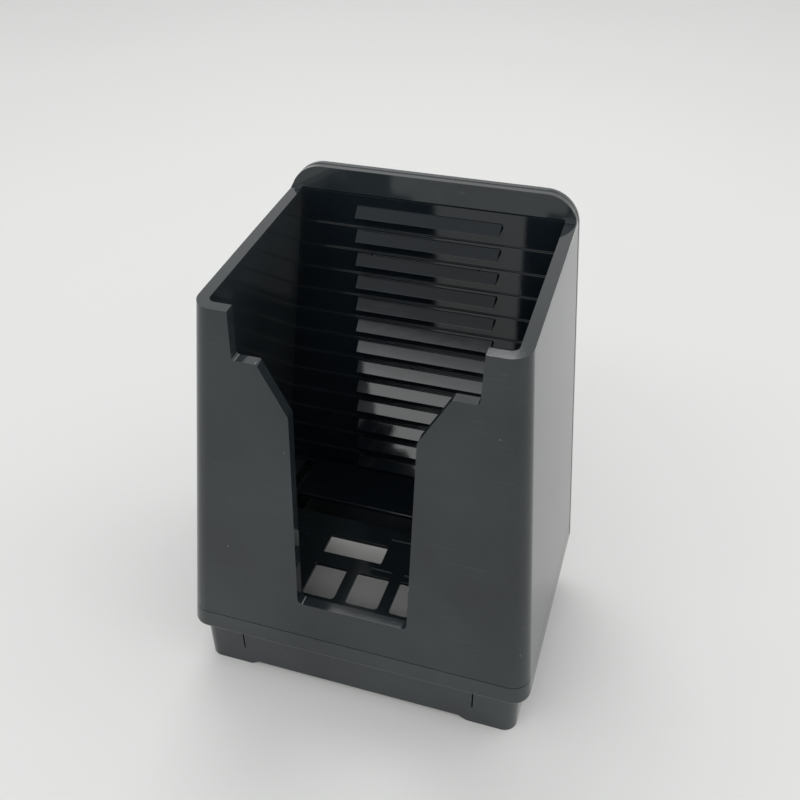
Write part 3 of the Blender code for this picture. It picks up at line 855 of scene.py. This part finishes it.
class Shade:
    """Small builder for a material's nodes."""

    def __init__(self, name):
        self.material = bpy.data.materials.new(name)
        self.material.use_nodes = True
        self.tree = self.material.node_tree
        self.shader = self.tree.nodes["Principled BSDF"]
        self.place = self.node("ShaderNodeTexCoord").outputs["Object"]

    def node(self, kind, **settings):
        """Add a node and set its properties."""
        made = self.tree.nodes.new(kind)
        for key, value in settings.items():
            setattr(made, key, value)
        return made

    def link(self, source, socket):
        self.tree.links.new(source, socket)

    def turned_place(self, scale, turn=(0.0, 0.0, 0.0)):
        """Object coordinates, turned and scaled."""
        mapping = self.node("ShaderNodeMapping")
        mapping.inputs["Rotation"].default_value = turn
        mapping.inputs["Scale"].default_value = scale
        self.link(self.place, mapping.inputs["Vector"])
        return mapping.outputs["Vector"]

    def noise(self, scale, detail=3.0, place=None, distortion=0.0):
        """Noise value, with its scale in waves per metre."""
        noise = self.node("ShaderNodeTexNoise")
        noise.inputs["Scale"].default_value = scale
        noise.inputs["Detail"].default_value = detail
        noise.inputs["Distortion"].default_value = distortion
        self.link(place or self.place, noise.inputs["Vector"])
        return noise.outputs["Fac"]

    def ramp(self, value, low, high, to_low=0.0, to_high=1.0):
        """Map a value from low..high to another range, with its ends held."""
        ramp = self.node("ShaderNodeMapRange")
        ramp.inputs["From Min"].default_value = low
        ramp.inputs["From Max"].default_value = high
        ramp.inputs["To Min"].default_value = to_low
        ramp.inputs["To Max"].default_value = to_high
        self.link(value, ramp.inputs["Value"])
        return ramp.outputs["Result"]

    def maths(self, operation, first, second=None):
        """Arithmetic on one value, or on two."""
        node = self.node("ShaderNodeMath", operation=operation)
        for socket, value in zip(node.inputs, (first, second)):
            if value is None:
                continue
            if isinstance(value, (int, float)):
                socket.default_value = value
            else:
                self.link(value, socket)
        return node.outputs["Value"]

    def mix(self, factor, first, second):
        """Blend two colours, each an RGB tuple or a socket."""
        mix = self.node("ShaderNodeMix", data_type="RGBA")
        self.link(factor, mix.inputs["Factor"])
        for socket, value in zip((mix.inputs[6], mix.inputs[7]), (first, second)):
            if isinstance(value, tuple):
                socket.default_value = (*value, 1.0)
            else:
                self.link(value, socket)
        return mix.outputs[2]

    def bump(self, layers):
        """Chain of bumps, each (height, distance in metres, strength), into the shader."""
        normal = None
        for height, distance, strength in layers:
            bump = self.node("ShaderNodeBump")
            bump.inputs["Distance"].default_value = distance
            bump.inputs["Strength"].default_value = strength
            self.link(height, bump.inputs["Height"])
            if normal:
                self.link(normal, bump.inputs["Normal"])
            normal = bump.outputs["Normal"]
        self.link(normal, self.shader.inputs["Normal"])


def hairlines(shade, turn, along, across, width):
    """Mask of thin straight scratches: 1 on a scratch, 0 off it."""
    place = shade.turned_place((along, across, across), turn)
    lines = shade.noise(1.0, 1.0, place)
    distance = shade.maths("ABSOLUTE", shade.maths("SUBTRACT", lines, 0.5))
    return shade.ramp(distance, width, 0.0)


def dust_specks(shade, scale, size, share):
    """Mask of small round specks, in a share of the cells of a random pattern."""
    cells = shade.node("ShaderNodeTexVoronoi")
    cells.inputs["Scale"].default_value = scale
    shade.link(shade.place, cells.inputs["Vector"])
    spots = shade.ramp(cells.outputs["Distance"], size, size / 2)
    split = shade.node("ShaderNodeSeparateColor")
    shade.link(cells.outputs["Color"], split.inputs["Color"])
    kept = shade.maths("LESS_THAN", split.outputs["Red"], share)
    return shade.maths("MULTIPLY", spots, kept)


def plastic(name, colour, rough, smudged, dust_share, edge_wear_and_highlight_colour, edge_rough):
    """Face and edge materials of a moulded black plastic; its edges are duller with wear, and
    their paler colour is partly wear and partly a painted highlight.
    """
    faces = plastic_skin(name, colour, rough, smudged, dust_share)
    edge_smudged = edge_rough * EDGE_SMUDGE_RISE
    # The edge material's paler colour is partly wear and partly a painted highlight along the
    # rounded edges.
    edges = plastic_skin(f"{name}_edge", edge_wear_and_highlight_colour, edge_rough, edge_smudged, dust_share)
    return faces, edges


def plastic_skin(name, colour, rough, smudged, dust_share):
    """Moulded black plastic: skin waviness, handling smudges, hairline scratches, dust."""
    shade = Shade(name)
    patches = shade.ramp(shade.noise(SMUDGE_WAVES, 4.0, distortion=0.7), 0.5, 0.72)
    streaks = shade.noise(1.0, 3.0, shade.turned_place(STREAK_WAVES, STREAK_TURN))
    smears = shade.maths("MULTIPLY", patches, shade.ramp(streaks, 0.35, 0.65))
    scratch = shade.maths("MAXIMUM", *(hairlines(shade, *scratches) for scratches in SCRATCHES))
    worn = shade.ramp(shade.noise(WORN_WAVES, 2.0), 0.5, 0.6)
    scratch = shade.maths("MULTIPLY", scratch, worn)
    dust = dust_specks(shade, DUST_CELLS, SPECK_SIZE, dust_share)
    fine = shade.ramp(shade.noise(FINE_WAVES, 2.0), 0.3, 0.7, -FINE_ROUGHER, FINE_ROUGHER)
    roughness = shade.ramp(smears, 0.0, 1.0, rough, smudged)
    roughness = shade.maths("ADD", roughness, fine)
    scraped = shade.maths("MULTIPLY", scratch, SCRATCH_ROUGHER)
    roughness = shade.maths("ADD", roughness, scraped)
    dusty = shade.maths("MULTIPLY", dust, DUST_ROUGHER)
    roughness = shade.maths("ADD", roughness, dusty)
    shade.link(roughness, shade.shader.inputs["Roughness"])
    shares = (TONE_DEEP, TONE_PALE, TONE_SCRATCHED)
    deep, pale, scratched = (tuple(channel * share for channel in colour) for share in shares)
    tone = shade.mix(shade.ramp(shade.noise(TONE_WAVES, 3.0), 0.35, 0.65), deep, pale)
    tone = shade.mix(scratch, tone, scratched)
    tone = shade.mix(dust, tone, DUST_COLOUR)
    shade.link(tone, shade.shader.inputs["Base Color"])
    skin = shade.noise(SKIN_WAVES, 2.0)
    grain = shade.noise(GRAIN_WAVES, 2.0)
    shade.bump([(skin, *SKIN_BUMP), (grain, *GRAIN_BUMP), (scratch, *SCRATCH_BUMP)])
    return shade.material


def steel(name):
    """Plated screw steel, with fine grain and dull patches."""
    shade = Shade(name)
    patches = shade.noise(700.0, 4.0)
    grain = shade.noise(6000.0, 3.0)
    shade.shader.inputs["Metallic"].default_value = 1.0
    colour = shade.mix(patches, STEEL_DEEP, STEEL_PALE)
    shade.link(colour, shade.shader.inputs["Base Color"])
    shade.link(shade.ramp(patches, 0.3, 0.7, 0.24, 0.46), shade.shader.inputs["Roughness"])
    shade.bump([(grain, *STEEL_BUMP)])
    return shade.material


def table_top(name):
    """Pale matt table top, slightly cloudy."""
    shade = Shade(name)
    clouds = shade.noise(3.0, 3.0)
    grain = shade.noise(1800.0, 3.0)
    colour = shade.mix(clouds, TABLE_DEEP, TABLE_PALE)
    shade.link(colour, shade.shader.inputs["Base Color"])
    shade.shader.inputs["Roughness"].default_value = 0.75
    shade.bump([(grain, *TABLE_BUMP)])
    return shade.material


# ---------------------------------------------------------------- stage


def build_table(material):
    """Flat table that the shoe stands on."""
    reach = TABLE_REACH
    corners = [(-reach, -reach), (reach, -reach), (reach, reach), (-reach, reach)]
    mesh = bpy.data.meshes.new("table")
    mesh.from_pydata([(x, y, 0.0) for x, y in corners], [], [(0, 1, 2, 3)])
    mesh.materials.append(material)
    table = bpy.data.objects.new("table", mesh)
    bpy.context.scene.collection.objects.link(table)


def add_softbox(name, azimuth, elevation, distance, size, power):
    """Rectangular soft light that faces the shoe; azimuth 0 is behind it, 90 at its right."""
    light = bpy.data.lights.new(name, "AREA")
    light.shape = "RECTANGLE"
    light.size, light.size_y = size
    light.energy = power
    lamp = bpy.data.objects.new(name, light)
    turn, rise = math.radians(azimuth), math.radians(elevation)
    flat = math.cos(rise) * distance
    place = Vector((math.sin(turn) * flat, math.cos(turn) * flat, math.sin(rise) * distance))
    lamp.location = LIGHT_TARGET + place
    lamp.rotation_euler = (-place).to_track_quat("-Z", "Y").to_euler()
    bpy.context.scene.collection.objects.link(lamp)


def light_room():
    """Pale surroundings that darken towards the ceiling, with a few large soft lights."""
    world = bpy.data.worlds.new("pale_room")
    bpy.context.scene.world = world
    world.use_nodes = True
    nodes = world.node_tree.nodes
    links = world.node_tree.links
    direction = nodes.new("ShaderNodeTexCoord")
    split = nodes.new("ShaderNodeSeparateXYZ")
    links.new(direction.outputs["Generated"], split.inputs["Vector"])
    height = nodes.new("ShaderNodeMapRange")
    height.inputs["From Min"].default_value = ROOM_FADE[0]
    height.inputs["From Max"].default_value = ROOM_FADE[1]
    links.new(split.outputs["Z"], height.inputs["Value"])
    fade = nodes.new("ShaderNodeMix")
    fade.data_type = "RGBA"
    fade.inputs[6].default_value = (*ROOM_LOW_COLOUR, 1.0)
    fade.inputs[7].default_value = (*ROOM_HIGH_COLOUR, 1.0)
    links.new(height.outputs["Result"], fade.inputs["Factor"])
    links.new(fade.outputs[2], nodes["Background"].inputs["Color"])
    for softbox in SOFTBOXES:
        add_softbox(*softbox)


def add_camera():
    """Camera in front of the shoe and to its right, looking down on it."""
    lens = bpy.data.cameras.new("camera")
    lens.sensor_width = SENSOR_WIDTH
    lens.lens = FOCAL_LENGTH
    lens.shift_x, lens.shift_y = CAMERA_SHIFT
    lens.clip_start = 0.01
    camera = bpy.data.objects.new("camera", lens)
    heading, pitch, roll = (math.radians(angle) for angle in CAMERA_TURNS)
    look = Matrix.Rotation(heading, 4, "Z") @ Matrix.Rotation(math.pi / 2 - pitch, 4, "X")
    look = look @ Matrix.Rotation(roll, 4, "Z")
    camera.matrix_world = Matrix.Translation(Vector(CAMERA_PLACE) * MM) @ look
    bpy.context.scene.collection.objects.link(camera)
    bpy.context.scene.camera = camera


def main():
    """Build every piece and the stage."""
    # Edge colours paler than the faces are partly wear and partly a painted highlight on the
    # rounded edges.
    gloss = plastic(
        "gloss_plastic",
        colour=(0.016, 0.0205, 0.0230),
        rough=0.06,
        smudged=0.15,
        dust_share=0.05,
        edge_wear_and_highlight_colour=(0.03, 0.034, 0.036),
        edge_rough=0.22,
    )
    inner = plastic(
        "inner_plastic",
        colour=(0.0060, 0.0090, 0.0120),
        rough=0.05,
        smudged=0.12,
        dust_share=0.09,
        edge_wear_and_highlight_colour=(0.09, 0.094, 0.098),
        edge_rough=0.32,
    )
    deck = plastic(
        "deck_plastic",
        colour=(0.009, 0.0125, 0.0145),
        rough=0.07,
        smudged=0.16,
        dust_share=0.03,
        edge_wear_and_highlight_colour=(0.11, 0.115, 0.12),
        edge_rough=0.40,
    )
    base = plastic(
        "base_plastic",
        colour=(0.022, 0.0265, 0.0290),
        rough=0.08,
        smudged=0.17,
        dust_share=0.05,
        edge_wear_and_highlight_colour=(0.022, 0.027, 0.03),
        edge_rough=0.22,
    )
    metal = (steel("screw_metal"),)
    build_outer_shell(gloss)
    build_rib_panel(inner)
    build_back_cover(gloss)
    build_floor_grid(deck)
    build_rear_platform(inner)
    build_base_tray(base)
    build_plinth(base)
    build_screws(metal)
    build_table(table_top("table_top"))
    light_room()
    add_camera()
    bpy.context.scene.view_settings.view_transform = "Standard"


main()
